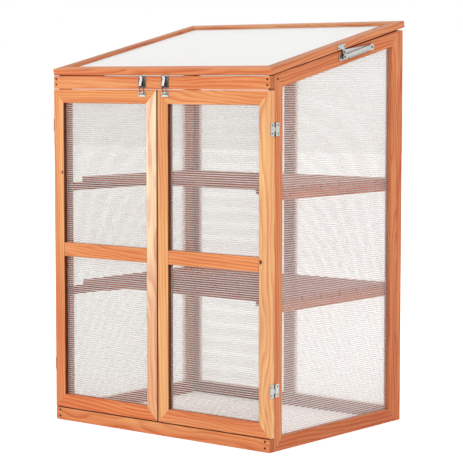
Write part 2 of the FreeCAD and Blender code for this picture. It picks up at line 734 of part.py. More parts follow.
def rivet(centre, start, face):
    """A rivet that ends in a tapered head just clear of a face."""
    under = face + STAY_HEAD_GAP
    shank = STAY.cylinder(centre, STAY_RIVET_RADIUS, start, under)
    radii = (STAY_RIVET_HEAD_RADIUS, STAY_RIVET_CROWN_RADIUS)
    return fused([shank, STAY.cone(centre, *radii, under, under + STAY_HEAD)])


def stay_lid_bracket():
    """A plate on the edge of the lid with a lug down to the pivot of the upper arm."""
    pivot = STAY_LID_PIVOT[0]
    bottom = LID_PIN_BELOW_LID + (LID_THICKNESS - STAY_LID_PLATE_HEIGHT) / 2
    low = (pivot + STAY_LID_PLATE_SHIFT - STAY_PLATE_LENGTH / 2, bottom)
    high = (low[0] + STAY_PLATE_LENGTH, bottom + STAY_LID_PLATE_HEIGHT)
    start, end = LID_SIDE, LID_SIDE + STAY_SHEET
    plate = rounded(STAY.block(low, high, start, end), X_AXIS, STAY_PLATE_CORNER)
    lug_end = (pivot, bottom + STAY_LID_PLATE_HEIGHT / 2)
    lug = strap(STAY_LID_PIVOT, lug_end, STAY_UPPER_WIDTH, start, end)
    eye = STAY.cylinder(STAY_LID_PIVOT, STAY_UPPER_WIDTH / 2, start, end)
    return fused([plate, lug, eye]).cut(STAY.cylinder(STAY_LID_PIVOT, RIVET_HOLE, start, end))


def stay_upper_arm():
    """The arm from the lid to the elbow."""
    start, end = UPPER_ARM_START, UPPER_ARM_END
    pieces = [strap(STAY_LID_PIVOT, STAY_ELBOW, STAY_UPPER_WIDTH, start, end)]
    pieces.append(STAY.cylinder(STAY_LID_PIVOT, STAY_UPPER_WIDTH / 2, start, end))
    pieces.append(STAY.cylinder(STAY_ELBOW, STAY_UPPER_ELBOW_RADIUS, start, end))
    return fused(pieces).cut(STAY.cylinder(STAY_LID_PIVOT, RIVET_HOLE, start, end))


def stay_lower_arm():
    """The arm from the cabinet to the elbow, a shallow channel that opens outwards."""
    start, end = LOWER_ARM_START, LOWER_ARM_END
    pieces = [strap(STAY_SIDE_PIVOT, STAY_ELBOW, STAY_LOWER_WIDTH, start, end)]
    pieces.append(STAY.cylinder(STAY_SIDE_PIVOT, STAY_LOWER_WIDTH / 2, start, end))
    pieces.append(STAY.cylinder(STAY_ELBOW, STAY_LOWER_ELBOW_RADIUS, start, end))
    flange_start = (STAY_SIDE_PIVOT[0] + STAY_LOWER_WIDTH, STAY_SIDE_PIVOT[1])
    flange_end = (STAY_ELBOW[0] - STAY_LOWER_WIDTH, STAY_ELBOW[1])
    channel = strap(flange_start, flange_end, STAY_LOWER_WIDTH, end, end + STAY_FLANGE)
    hollow_width = STAY_LOWER_WIDTH - 2 * STAY_SHEET
    hollow = strap(STAY_SIDE_PIVOT, STAY_ELBOW, hollow_width, end, end + STAY_FLANGE)
    pieces.append(channel.cut(hollow))
    arm = fused(pieces)
    for centre in (STAY_SIDE_PIVOT, STAY_ELBOW):
        arm = arm.cut(STAY.cylinder(centre, RIVET_HOLE, start, end))
    return arm


# Every node of the greenhouse

def greenhouse():
    nodes = {"base_rail": base_rail(), "header_rail": header_rail()}
    nodes.update(back_panel())
    upper_slats, upper_battens = shelf(UPPER_SHELF_TOP)
    lower_slats, lower_battens = shelf(LOWER_SHELF_TOP)
    nodes["upper_shelf_slats"] = Part.makeCompound(upper_slats)
    nodes["lower_shelf_slats"] = Part.makeCompound(lower_slats)
    nodes["shelf_battens"] = Part.makeCompound(upper_battens + lower_battens)
    nodes["shelf_cleats"] = shelf_cleats()
    nodes.update(lid())
    nodes.update(door_hinge_leaves())
    nodes.update(lid_hinge_leaves())
    nodes["hinge_pins"] = hinge_pins()
    nodes["latch_base_plates"] = Part.makeCompound([latch_base_plate(name) for name in HANDS])
    for name in HANDS:
        nodes.update(side_panel(name))
        nodes.update(door(name))
        nodes[name + "_latch_lever"] = latch_lever(name)
        nodes[name + "_latch_bail"] = latch_bail(name)
        nodes[name + "_latch_strike"] = latch_strike(name)
    nodes["stay_side_bracket"] = stay_side_bracket()
    nodes["stay_side_rivet"] = rivet(STAY_SIDE_PIVOT, HALF_WIDTH, LOWER_ARM_END)
    nodes["stay_lid_bracket"] = stay_lid_bracket()
    nodes["stay_lid_rivet"] = rivet(STAY_LID_PIVOT, LID_SIDE, UPPER_ARM_END)
    nodes["stay_upper_arm"] = stay_upper_arm()
    nodes["stay_lower_arm"] = stay_lower_arm()
    nodes["stay_elbow_rivet"] = rivet(STAY_ELBOW, LOWER_ARM_START, LOWER_ARM_END)
    return nodes


os.makedirs("parts", exist_ok=True)
for node, shape in greenhouse().items():
    shape.exportStep("parts/" + node + ".step")
    print(node, "solids", len(shape.Solids), "volume", round(shape.Volume), "valid", shape.isValid())
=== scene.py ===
# Finish, light and camera for the wooden mini greenhouse. Sizes are in metres.
# X runs to the right, Y to the back and Z up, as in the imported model.
import json
import math
import bmesh
import bpy
from mathutils import Matrix, Vector


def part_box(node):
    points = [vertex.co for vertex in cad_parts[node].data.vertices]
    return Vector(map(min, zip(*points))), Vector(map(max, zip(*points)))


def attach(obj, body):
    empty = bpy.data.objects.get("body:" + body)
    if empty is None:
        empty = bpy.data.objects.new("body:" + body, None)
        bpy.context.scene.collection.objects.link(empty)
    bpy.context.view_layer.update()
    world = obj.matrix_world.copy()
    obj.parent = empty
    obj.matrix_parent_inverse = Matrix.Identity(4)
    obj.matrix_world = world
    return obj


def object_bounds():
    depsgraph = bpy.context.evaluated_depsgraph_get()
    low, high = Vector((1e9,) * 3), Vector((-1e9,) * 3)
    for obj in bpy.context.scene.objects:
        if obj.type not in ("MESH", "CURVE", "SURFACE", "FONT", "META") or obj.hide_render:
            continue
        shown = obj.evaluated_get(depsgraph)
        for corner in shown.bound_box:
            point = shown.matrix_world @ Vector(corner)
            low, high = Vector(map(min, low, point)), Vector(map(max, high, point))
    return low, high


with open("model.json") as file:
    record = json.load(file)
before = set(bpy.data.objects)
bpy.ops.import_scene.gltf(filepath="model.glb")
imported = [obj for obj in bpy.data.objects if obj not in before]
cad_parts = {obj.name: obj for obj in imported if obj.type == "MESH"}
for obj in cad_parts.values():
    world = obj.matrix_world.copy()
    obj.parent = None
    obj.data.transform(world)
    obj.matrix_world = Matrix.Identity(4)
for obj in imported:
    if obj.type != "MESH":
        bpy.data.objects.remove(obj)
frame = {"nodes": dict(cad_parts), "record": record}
cad_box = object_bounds()
nodes = frame["nodes"]

# Real sizes that the finish follows
LID_FRONT_HEIGHT = 0.978
LID_BACK_HEIGHT = 1.111
LID_DEPTH = 0.597

# Directions
TILT = math.atan2(LID_BACK_HEIGHT - LID_FRONT_HEIGHT, LID_DEPTH)
ACROSS = Vector((1, 0, 0))
DEEP = Vector((0, 1, 0))
UP = Vector((0, 0, 1))
UP_SLOPE = Vector((0, math.cos(TILT), math.sin(TILT)))
OFF_SLOPE = Vector((0, -math.sin(TILT), math.cos(TILT)))

# The lid's top face: how long it is up the slope, and the middle of its front edge
LID_LENGTH = math.hypot(LID_BACK_HEIGHT - LID_FRONT_HEIGHT, LID_DEPTH)
LID_FRONT_EDGE = Vector((0, -LID_DEPTH / 2, LID_FRONT_HEIGHT))


# Colours

# A screen's colour curve: a straight foot near black, and a power above it
FULL_CHANNEL = 255
CURVE_FOOT = 0.04045
FOOT_SLOPE = 12.92
CURVE_LIFT = 0.055
CURVE_POWER = 2.4


def colour(red, green, blue):
    """A screen colour, 0 to 255 a channel, as the linear colour that a shader takes."""
    linear = []
    for channel in (red, green, blue):
        share = max(0.0, min(1.0, channel / FULL_CHANNEL))
        curved = ((share + CURVE_LIFT) / (1 + CURVE_LIFT)) ** CURVE_POWER
        linear.append(share / FOOT_SLOPE if share <= CURVE_FOOT else curved)
    return (*linear, 1.0)


WHITE = colour(255, 255, 255)


# Shader graphs

# Two kinds of noise, and the span that most of a noise's values lie in
SOFT = {"Detail": 2.0, "Roughness": 0.5}
FINE = {"Detail": 3.0, "Roughness": 0.6}
NOISE_SPAN = (0.3, 0.7)


class Graph:
    """The node tree of a new material or world, with short calls for the nodes that they need."""

    def __init__(self, owner, output_kind="ShaderNodeOutputMaterial"):
        owner.use_nodes = True
        self.owner = owner
        self.tree = owner.node_tree
        self.tree.nodes.clear()
        self.output = self.tree.nodes.new(output_kind)

    def feed(self, socket, value):
        if isinstance(value, bpy.types.NodeSocket):
            self.tree.links.new(value, socket)
        else:
            socket.default_value = value

    def node(self, kind, values, **settings):
        """A node with its inputs fed in order, or by name."""
        made = self.tree.nodes.new(kind)
        for name, setting in settings.items():
            setattr(made, name, setting)
        keyed = values.items() if isinstance(values, dict) else enumerate(values)
        for key, value in keyed:
            self.feed(made.inputs[key], value)
        return made

    def place(self):
        return self.node("ShaderNodeTexCoord", {}).outputs["Object"]

    def normal(self):
        return self.node("ShaderNodeTexCoord", {}).outputs["Normal"]

    def math(self, operation, *values):
        return self.node("ShaderNodeMath", values, operation=operation).outputs[0]

    def hypot(self, one, other):
        squares = [self.math("POWER", side, 2.0) for side in (one, other)]
        return self.math("SQRT", self.math("ADD", *squares))

    def dot(self, vector, direction):
        made = self.node("ShaderNodeVectorMath", (vector, tuple(direction)), operation="DOT_PRODUCT")
        return made.outputs["Value"]

    def vector(self, *parts):
        return self.node("ShaderNodeCombineXYZ", parts).outputs[0]

    def stretched(self, parts, scales):
        """A place for a noise, with each part of it at its own scale."""
        return self.vector(*[self.math("MULTIPLY", part, scale) for part, scale in zip(parts, scales)])

    def noise(self, vector, seed, kind=SOFT):
        values = {"Vector": vector, "W": seed, "Scale": 1.0, **kind}
        return self.node("ShaderNodeTexNoise", values, noise_dimensions="4D").outputs[0]

    def ranged(self, value, low, high, to_low=0.0, to_high=1.0):
        """A value carried from one range to another, held at its ends."""
        return self.node("ShaderNodeMapRange", (value, low, high, to_low, to_high), clamp=True).outputs[0]

    def spread(self, noise, to_low=0.0, to_high=1.0):
        """A noise carried from its usual span to a range."""
        return self.ranged(noise, *NOISE_SPAN, to_low, to_high)

    def mixed(self, share, first, second, blend="MIX"):
        made = self.node("ShaderNodeMix", {}, data_type="RGBA", blend_type=blend)
        colour_a, colour_b = [socket for socket in made.inputs if socket.type == "RGBA"]
        self.feed(made.inputs["Factor"], share)
        self.feed(colour_a, first)
        self.feed(colour_b, second)
        return [socket for socket in made.outputs if socket.type == "RGBA"][0]

    def bump(self, height, distance, strength):
        values = {"Height": height, "Distance": distance, "Strength": strength}
        return self.node("ShaderNodeBump", values).outputs[0]

    def principled(self, **values):
        named = {key.replace("_", " "): value for key, value in values.items()}
        return self.node("ShaderNodeBsdfPrincipled", named).outputs[0]

    def blended(self, share, first, second):
        return self.node("ShaderNodeMixShader", (share, first, second)).outputs[0]

    def surface(self, shader):
        """The finished material or world, with a shader as its surface."""
        self.feed(self.output.inputs["Surface"], shader)
        return self.owner


def material_graph(name):
    return Graph(bpy.data.materials.new(name))


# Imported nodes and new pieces

# How near two vertices are that count as one, and the decimals that solids are sorted by
WELD_DISTANCE = 0.000005
SORT_DECIMALS = 4


def finish(node, material):
    """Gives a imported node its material."""
    mesh = nodes[node].data
    mesh.materials.clear()
    mesh.materials.append(material)


def islands(node):
    """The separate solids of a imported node, each as a list of its edges' two ends."""
    whole = bmesh.new()
    whole.from_mesh(nodes[node].data)
    bmesh.ops.remove_doubles(whole, verts=whole.verts, dist=WELD_DISTANCE)
    found = []
    left = set(whole.verts)
    while left:
        front = [left.pop()]
        group = set(front)
        while front:
            for edge in front.pop().link_edges:
                for vertex in edge.verts:
                    if vertex not in group:
                        group.add(vertex)
                        front.append(vertex)
        left -= group
        ends = [(edge.verts[0].co.copy(), edge.verts[1].co.copy())
                for edge in whole.edges if edge.verts[0] in group]
        found.append(ends)
    whole.free()
    found.sort(key=middle_of)
    return found


def middle_of(ends):
    """The mean of an island's edge ends, rounded so that solids in one row sort by their place in it."""
    totals = [sum(start[axis] + end[axis] for start, end in ends) for axis in (0, 1, 2)]
    return [round(total / (2 * len(ends)), SORT_DECIMALS) for total in totals]


def span(ends, direction):
    """The least and greatest distance that an island's vertices reach along a direction."""
    reached = [point.dot(direction) for pair in ends for point in pair]
    return min(reached), max(reached)


def boxes(node):
    """The lowest and highest corners of each separate solid of a node."""
    found = []
    for ends in islands(node):
        spans = [span(ends, direction) for direction in (ACROSS, DEEP, UP)]
        found.append((Vector([low for low, high in spans]), Vector([high for low, high in spans])))
    return found


def add_mesh(name, made, body, material):
    """A new piece from a bmesh, on its body."""
    mesh = bpy.data.meshes.new(name)
    made.to_mesh(mesh)
    made.free()
    mesh.materials.append(material)
    piece = bpy.data.objects.new(name, mesh)
    bpy.context.scene.collection.objects.link(piece)
    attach(piece, body)


# Timber

# Change of a stick's tone, in screen levels, in early wood, late wood and pale streaks
SPRING_SHIFT = (4, 8, 5)
SUMMER_SHIFT = (-22, -40, -36)
STREAK_SHIFT = (9, 27, 24)

# Colours of sawn ends and knots, and painted shades that faces are multiplied by
END_GRAIN = colour(172, 92, 52)
KNOT = colour(112, 52, 28)
# Painted shade for faces in gaps, recesses and undersides, where little light gets in
GAP_SHADE = (0.16, 0.07, 0.05, 1.0)
# Painted shade that tones down the lit tops of the lid's rails
LID_TOP_SHADE = (0.78, 0.84, 0.84, 1.0)
# Painted shade for faces that look into the cabinet
INNER_FACE_SHADE = (0.72, 0.66, 0.66, 1.0)

# How often a noise repeats in a metre along the stick, across it and through it
SWAY_SCALES = (2.6, 10.0, 10.0)
FIBRE_SCALES = (10.0, 420.0, 420.0)
STREAK_SCALES = (1.8, 75.0, 75.0)
BAND_SCALES = (1.2, 38.0, 38.0)
PATCH_SCALES = (3.0, 12.0, 12.0)

# How far the rings sway, the span of the noise that does it, and their slant along the stick
SWAY = 0.018
SWAY_SPAN = (0.25, 0.75)
RING_SLANT = 0.035

# A year's ring: late wood comes on through the first span, by a power, and stops through the second
LATE_RISE = (0.05, 0.8)
LATE_FALL = (0.8, 1.0)
LATE_POWER = 1.8

# A knot is longer than it is wide. The rest are shares of its radius: how far off it bends the rings,
# by how much, and where its dark core starts to fade and ends
KNOT_SQUEEZE = 0.7
KNOT_REACH = 3.5
KNOT_PUSH = 1.6
KNOT_CORE = 0.75
KNOT_RIM = 1.15

# How strongly rings and streaks show, and the part of a noise's values that makes a streak
LATE_SHARE = 0.85
STREAK_SHARE = 0.7
STREAK_SPAN = (0.5, 0.72)

# Darkest and lightest factors of fibres, bands and patches, which change red less than green and blue
FIBRE_FACTORS = (0.9, 1.08)
BAND_FACTORS = (0.84, 1.12)
PATCH_FACTORS = (0.9, 1.08)
RED_POWER = 0.6
GREEN_BLUE_POWER = 1.5

# How squarely a face looks in a direction before it takes a painted shade, and an end before it shows end
# grain
FACING_SPAN = (0.45, 0.75)
END_SPAN = (0.85, 0.97)
END_SHARE = 0.8

# Sheen and relief of the stained surface, where late wood is smoother and stands proud
WOOD_SPECULAR = 0.2
SMOOTHNESS_SPAN = (0.3, 1.5)
WOOD_ROUGHNESS = (0.62, 0.5)
LATE_RELIEF = 0.8
RELIEF_DEPTH = 0.00015
RELIEF_STRENGTH = 0.6

# Seeds that keep the noises of sticks, of pieces in one node, and of bands and patches apart
STICK_SEED_STEP = 1.9
PIECE_SEED_STEP = 3.7
BAND_SEED = 4.0
PATCH_SEED = 9.0
SLAT_SEED = 50.0
SLAT_SEED_STEP = 9.0

# Ring widths that the sticks take in turn, and the pith's distance from a stick's middle, across and through
RING_WIDTHS = (0.0072, 0.0084, 0.0096, 0.0108)
PITH_ACROSS = (0.032, 0.039, 0.046, 0.053, 0.060)
PITH_THROUGH = (0.024, 0.028, 0.032)
SLAT_RING_WIDTH = 0.0065
SLAT_PITH_REACH = 0.05


def shifted(tone, shift):
    return colour(*[channel + change for channel, change in zip(tone, shift)])


def late_wood(graph, spot, ring, pith, knots, shift):
    """How far into late wood each point is, and the cores of the knots that bend the rings."""
    run, wide, deep = spot
    sway = graph.ranged(graph.noise(graph.stretched(spot, SWAY_SCALES), shift), *SWAY_SPAN, -SWAY, SWAY)
    slant = graph.math("MULTIPLY", run, RING_SLANT)
    off_wide = graph.math("ADD", graph.math("SUBTRACT", wide, pith[0]), graph.math("ADD", sway, slant))
    off_deep = graph.math("ADD", graph.math("SUBTRACT", deep, pith[1]), sway)
    radius = graph.hypot(off_wide, off_deep)
    cores = []
    for knot_run, knot_wide, knot_radius in knots:
        off_run = graph.math("MULTIPLY", graph.math("SUBTRACT", run, knot_run), KNOT_SQUEEZE)
        off_knot = graph.hypot(off_run, graph.math("SUBTRACT", wide, knot_wide))
        push = graph.ranged(off_knot, 0.0, KNOT_REACH * knot_radius, KNOT_PUSH * knot_radius, 0.0)
        radius = graph.math("ADD", radius, push)
        cores.append(graph.ranged(off_knot, KNOT_CORE * knot_radius, KNOT_RIM * knot_radius, 1.0, 0.0))
    year = graph.math("FRACT", graph.math("DIVIDE", radius, ring))
    rise = graph.math("POWER", graph.ranged(year, *LATE_RISE), LATE_POWER)
    fall = graph.ranged(year, *LATE_FALL, 1.0, 0.0)
    return graph.math("MULTIPLY", rise, fall), cores


def wood_colour(graph, spot, tone, late, fibre, shift):
    """The tone with its rings, streaks, fibres, bands and patches."""
    streak_noise = graph.noise(graph.stretched(spot, STREAK_SCALES), shift, FINE)
    streak = graph.math("MULTIPLY", graph.ranged(streak_noise, *STREAK_SPAN), STREAK_SHARE)
    band = graph.noise(graph.stretched(spot, BAND_SCALES), graph.math("ADD", shift, BAND_SEED))
    patch = graph.noise(graph.stretched(spot, PATCH_SCALES), graph.math("ADD", shift, PATCH_SEED))
    ringed = graph.mixed(graph.math("MULTIPLY", late, LATE_SHARE),
                         shifted(tone, SPRING_SHIFT), shifted(tone, SUMMER_SHIFT))
    streaked = graph.mixed(streak, ringed, shifted(tone, STREAK_SHIFT))
    grain = graph.math("MULTIPLY", graph.spread(fibre, *FIBRE_FACTORS), graph.spread(band, *BAND_FACTORS))
    grain = graph.math("MULTIPLY", grain, graph.spread(patch, *PATCH_FACTORS))
    red = graph.math("POWER", grain, RED_POWER)
    green_blue = graph.math("POWER", grain, GREEN_BLUE_POWER)
    return graph.mixed(1.0, streaked, graph.vector(red, green_blue, green_blue), "MULTIPLY")


def timber(name, along, across, tone, seed, ring, pith, faces=(), fade=None, knots=(), pieces=None):
    """Stained softwood with growth rings round a pith that lies outside the stick.

    Each of faces is a direction and the painted shade of the faces that look that way. fade gives two
    places along the stick and the painted shade, darker towards the stick's foot, that it takes before
    the first. Each knot is a place along and across the stick, and a radius. pieces gives the start and
    the pitch, measured along the across direction, of several sticks in one node, so that each has
    its own grain.
    """
    graph = material_graph(name)
    place = graph.place()
    normal = graph.normal()
    spot = [graph.dot(place, direction) for direction in (along, across, along.cross(across))]
    run, wide, deep = spot
    shift = seed
    if pieces:
        start, pitch = pieces
        number = graph.math("FLOOR", graph.math("DIVIDE", graph.math("SUBTRACT", wide, start), pitch))
        shift = graph.math("ADD", graph.math("MULTIPLY", number, PIECE_SEED_STEP), seed)

    late, cores = late_wood(graph, spot, ring, pith, knots, shift)
    fibre = graph.noise(graph.stretched(spot, FIBRE_SCALES), shift, FINE)
    wood = wood_colour(graph, spot, tone, late, fibre, shift)
    # Painted shade that darkens the stick towards its foot
    if fade:
        fade_start, fade_end, shade = fade
        wood = graph.mixed(graph.ranged(run, fade_start, fade_end, 1.0, 0.0), wood, shade, "MULTIPLY")
    for core in cores:
        wood = graph.mixed(core, wood, KNOT)
    # Painted shade on the faces that look in the given directions
    for direction, shade in faces:
        facing = graph.ranged(graph.dot(normal, direction), *FACING_SPAN)
        wood = graph.mixed(facing, wood, shade, "MULTIPLY")
    end = graph.math("ABSOLUTE", graph.dot(normal, along))
    wood = graph.mixed(graph.ranged(end, *END_SPAN, 0.0, END_SHARE), wood, END_GRAIN)

    rough = graph.ranged(graph.math("ADD", fibre, late), *SMOOTHNESS_SPAN, *WOOD_ROUGHNESS)
    height = graph.math("ADD", fibre, graph.math("MULTIPLY", late, LATE_RELIEF))
    shader = graph.principled(Base_Color=wood, Roughness=rough, Specular_IOR_Level=WOOD_SPECULAR,
                              Normal=graph.bump(height, RELIEF_DEPTH, RELIEF_STRENGTH))
    return graph.surface(shader)


sticks_finished = []


def in_turn(values):
    """The value in a list whose turn it is for the next stick."""
    return values[len(sticks_finished) % len(values)]


def finish_stick(node, along, across, tone, **looks):
    """One stick of timber, with rings and a pith of its own."""
    low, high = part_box(node)
    middle = (low + high) / 2
    pith = (middle.dot(across) + in_turn((-1, 1)) * in_turn(PITH_ACROSS),
            middle.dot(along.cross(across)) + in_turn(PITH_THROUGH))
    seed = STICK_SEED_STEP * len(sticks_finished)
    finish(node, timber(node + "_wood", along, across, tone, seed, in_turn(RING_WIDTHS), pith, **looks))
    sticks_finished.append(node)


def gap_shaded(*directions):
    """Faces that look in these directions, with painted shade where they lie in gaps, recesses and
    undersides.
    """
    return tuple((direction, GAP_SHADE) for direction in directions)


# Fades: the heights between which a stile turns from a painted shade at its foot, where less light reaches,
# to its own tone
LEFT_HINGE_FOOT_SHADE = (0.25, 0.75, (0.92, 0.78, 0.72, 1.0))
LEFT_MEETING_FOOT_SHADE = (0.12, 0.72, (0.88, 0.60, 0.47, 1.0))
SIDE_BACK_FOOT_SHADE = (0.2, 0.7, (0.93, 0.85, 0.8, 1.0))

# Knots: a place along the stick, a place across it, and a radius
LEFT_HINGE_KNOT = (0.694, -0.349, 0.0035)
RIGHT_HINGE_KNOT = (0.488, 0.349, 0.0045)
RIGHT_BOTTOM_KNOTS = ((0.14, 0.02, 0.001), (0.27, 0.075, 0.001))
HEADER_KNOT = (0.376, 0.926, 0.003)
LID_BACK_KNOTS = ((0.073, 0.505, 0.003), (0.19, 0.510, 0.003))

# Tones that several sticks share; the back and shelf tones are the wood's colour deepened by the shade
# inside the cabinet, painted into them
BACK_TONE = (206, 118, 72)
SHELF_FRAME_TONE = (196, 102, 54)
SLAT_TONE = (198, 104, 54)


def finish_doors():
    finish_stick("left_door_hinge_stile", UP, ACROSS, (240, 168, 113), faces=gap_shaded(ACROSS),
                 fade=LEFT_HINGE_FOOT_SHADE, knots=(LEFT_HINGE_KNOT,))
    finish_stick("left_door_meeting_stile", UP, ACROSS, (249, 212, 177), faces=gap_shaded(ACROSS, -ACROSS),
                 fade=LEFT_MEETING_FOOT_SHADE)
    finish_stick("right_door_meeting_stile", UP, ACROSS, (239, 172, 114), faces=gap_shaded(ACROSS, -ACROSS))
    finish_stick("right_door_hinge_stile", UP, ACROSS, (233, 167, 115), faces=gap_shaded(-ACROSS),
                 knots=(RIGHT_HINGE_KNOT,))
    finish_stick("left_door_top_rail", ACROSS, UP, (234, 150, 93))
    finish_stick("left_door_mid_rail", ACROSS, UP, (233, 148, 93))
    finish_stick("left_door_bottom_rail", ACROSS, UP, (226, 130, 79), faces=gap_shaded(-UP))
    finish_stick("right_door_top_rail", ACROSS, UP, (232, 149, 95))
    finish_stick("right_door_mid_rail", ACROSS, UP, (236, 151, 95))
    finish_stick("right_door_bottom_rail", ACROSS, UP, (233, 148, 95), faces=gap_shaded(-UP),
                 knots=RIGHT_BOTTOM_KNOTS)


def finish_front():
    finish_stick("header_rail", ACROSS, UP, (231, 142, 89), faces=gap_shaded(UP), knots=(HEADER_KNOT,))
    finish_stick("base_rail", ACROSS, UP, (226, 140, 89), faces=gap_shaded(UP))


def finish_lid():
    # Painted shade under the lid's rails, and a painted shade that tones down their lit tops
    usual = gap_shaded(-OFF_SLOPE) + ((OFF_SLOPE, LID_TOP_SHADE),)
    finish_stick("lid_front_rail", ACROSS, UP_SLOPE, (232, 142, 91), faces=gap_shaded(UP_SLOPE) + usual)
    finish_stick("lid_back_rail", ACROSS, UP_SLOPE, (216, 138, 91), faces=usual, knots=LID_BACK_KNOTS)
    finish_stick("lid_left_rail", UP_SLOPE, ACROSS, (208, 128, 83), faces=usual)
    finish_stick("lid_right_rail", UP_SLOPE, ACROSS, (212, 132, 87), faces=gap_shaded(-ACROSS) + usual)


def finish_side(hand):
    finish_stick(hand + "_side_front_stile", UP, DEEP, (212, 130, 83))
    finish_stick(hand + "_side_back_stile", UP, DEEP, (213, 130, 83), fade=SIDE_BACK_FOOT_SHADE)
    finish_stick(hand + "_side_bottom_rail", DEEP, UP, (204, 118, 73))
    finish_stick(hand + "_side_top_rail", UP_SLOPE, OFF_SLOPE, (210, 122, 77), faces=gap_shaded(OFF_SLOPE))


def finish_back():
    # Painted shade on the back's faces that look into the cabinet
    inner_shade = ((-DEEP, INNER_FACE_SHADE),)
    finish_stick("back_bottom_rail", ACROSS, UP, BACK_TONE, faces=inner_shade)
    finish_stick("back_top_rail", ACROSS, UP, BACK_TONE, faces=inner_shade)
    finish_stick("back_right_stile", UP, ACROSS, BACK_TONE)
    finish_stick("back_left_stile", UP, ACROSS, BACK_TONE, faces=inner_shade)
    finish_stick("back_centre_stile", UP, ACROSS, BACK_TONE, faces=inner_shade)


def finish_slats(node, seed):
    """A shelf's slats, each with its own grain; the pitch and the gap are read from the slats."""
    slats = boxes(node)
    fronts = sorted(low.y for low, high in slats)
    pitch = fronts[1] - fronts[0]
    gap = pitch - (slats[0][1].y - slats[0][0].y)
    low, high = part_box(node)
    pith = (high.y + SLAT_PITH_REACH, low.z - SLAT_PITH_REACH)
    finish(node, timber(node + "_wood", ACROSS, DEEP, SLAT_TONE, seed, SLAT_RING_WIDTH, pith,
                        pieces=(low.y - gap / 2, pitch)))


def finish_shelves():
    finish_stick("shelf_battens", DEEP, ACROSS, SHELF_FRAME_TONE)
    finish_stick("shelf_cleats", DEEP, UP, SHELF_FRAME_TONE)
    finish_slats("upper_shelf_slats", SLAT_SEED)
    finish_slats("lower_shelf_slats", SLAT_SEED + SLAT_SEED_STEP)


finish_doors()
finish_front()
finish_lid()
finish_side("left")
finish_side("right")
finish_back()
finish_shelves()


# Panes

# The twin-wall sheet: distance from web to web, and the thickness of webs and skins
FLUTE_PITCH = 0.0059
WEB_THICKNESS = 0.0006
SKIN_THICKNESS = 0.0004
WEB_END_GAP = 0.0012

# The milky foot where a web joins a skin: its width, and how far from the web it starts to clear and ends
WEB_FOOT = 0.0024
FOOT_CORE = 0.35 * WEB_FOOT
FOOT_EDGE = 0.65 * WEB_FOOT

# Darkest and lightest milk of the skins and the webs, which vary as soft clouds
SKIN_MILK = (colour(249, 250, 248), colour(253, 254, 253))
WEB_MILK = (colour(250, 250, 249), colour(254, 254, 254))
SKIN_CLOUD_SEED = 3.0
WEB_CLOUD_SEED = 5.0
SKIN_ROUGHNESS = 0.5
WEB_ROUGHNESS = 0.4
PLASTIC_SPECULAR = 0.2
WEB_THROUGH_SHARE = 0.6

# Clear plastic between the webs, greyed in the doors as painted shade
DOOR_CLEAR_SHADE = colour(245, 245, 244)


def cloudy_milk(graph, place, seed, tones):
    return graph.mixed(graph.spread(graph.noise(place, seed)), *tones)


def glowing_plastic(graph, milk, roughness, through_share):
    """Milky plastic that throws some light back and lets some through."""
    facing = graph.principled(Base_Color=milk, Roughness=roughness, Specular_IOR_Level=PLASTIC_SPECULAR)
    through = graph.node("ShaderNodeBsdfTranslucent", (milk,)).outputs[0]
    return graph.blended(through_share, facing, through)


def skin_plastic(name, rise, flute_haze, web_haze, through_share, clear_tone=WHITE):
    """A clear skin that is milky where a web joins it."""
    graph = material_graph(name)
    place = graph.place()
    milk = cloudy_milk(graph, place, SKIN_CLOUD_SEED, SKIN_MILK)
    pitches = graph.math("DIVIDE", graph.dot(place, rise), FLUTE_PITCH)
    share = graph.math("SUBTRACT", graph.math("FRACT", graph.math("ADD", pitches, 0.5)), 0.5)
    from_web = graph.math("MULTIPLY", graph.math("ABSOLUTE", share), FLUTE_PITCH)
    haze = graph.ranged(from_web, FOOT_CORE, FOOT_EDGE, web_haze, flute_haze)
    clear = graph.node("ShaderNodeBsdfTransparent", (clear_tone,)).outputs[0]
    milky = glowing_plastic(graph, milk, SKIN_ROUGHNESS, through_share)
    return graph.surface(graph.blended(haze, clear, milky))


def web_plastic():
    """A milky web that light from both sides shines into."""
    graph = material_graph("milky_web")
    milk = cloudy_milk(graph, graph.place(), WEB_CLOUD_SEED, WEB_MILK)
    return graph.surface(glowing_plastic(graph, milk, WEB_ROUGHNESS, WEB_THROUGH_SHARE))


DOOR_SKIN = skin_plastic("door_skin", UP, flute_haze=0.05, web_haze=0.36, through_share=0.5,
                         clear_tone=DOOR_CLEAR_SHADE)
SIDE_SKIN = skin_plastic("side_skin", UP, flute_haze=0.12, web_haze=0.36, through_share=0.6)
BACK_SKIN = skin_plastic("back_skin", UP, flute_haze=0.3, web_haze=0.4, through_share=0.8)
LID_SKIN = skin_plastic("lid_skin", UP_SLOPE, flute_haze=0.75, web_haze=0.85, through_share=0.2)
MILKY_WEB = web_plastic()


def add_web(made, ends, level, rise, run):
    """One web of a pane, at a level along rise, from edge to edge and from skin to skin."""
    through = rise.cross(run)
    skin_low, skin_high = span(ends, through)
    crossings = []
    for start, end in ends:
        below, above = start.dot(rise) - level, end.dot(rise) - level
        if below * above < 0:
            crossings.append(start.lerp(end, below / (below - above)).dot(run))
    web_start, web_end = min(crossings) + WEB_END_GAP, max(crossings) - WEB_END_GAP
    length = web_end - web_start
    if length > FLUTE_PITCH:
        depth = skin_high - skin_low - 2 * SKIN_THICKNESS
        centre = rise * level + run * (web_start + web_end) / 2 + through * (skin_low + skin_high) / 2
        turn = Matrix((run, rise, through)).transposed().to_4x4()
        size = Matrix.Diagonal((length, WEB_THICKNESS, depth, 1.0))
        bmesh.ops.create_cube(made, size=1.0, matrix=Matrix.Translation(centre) @ turn @ size)


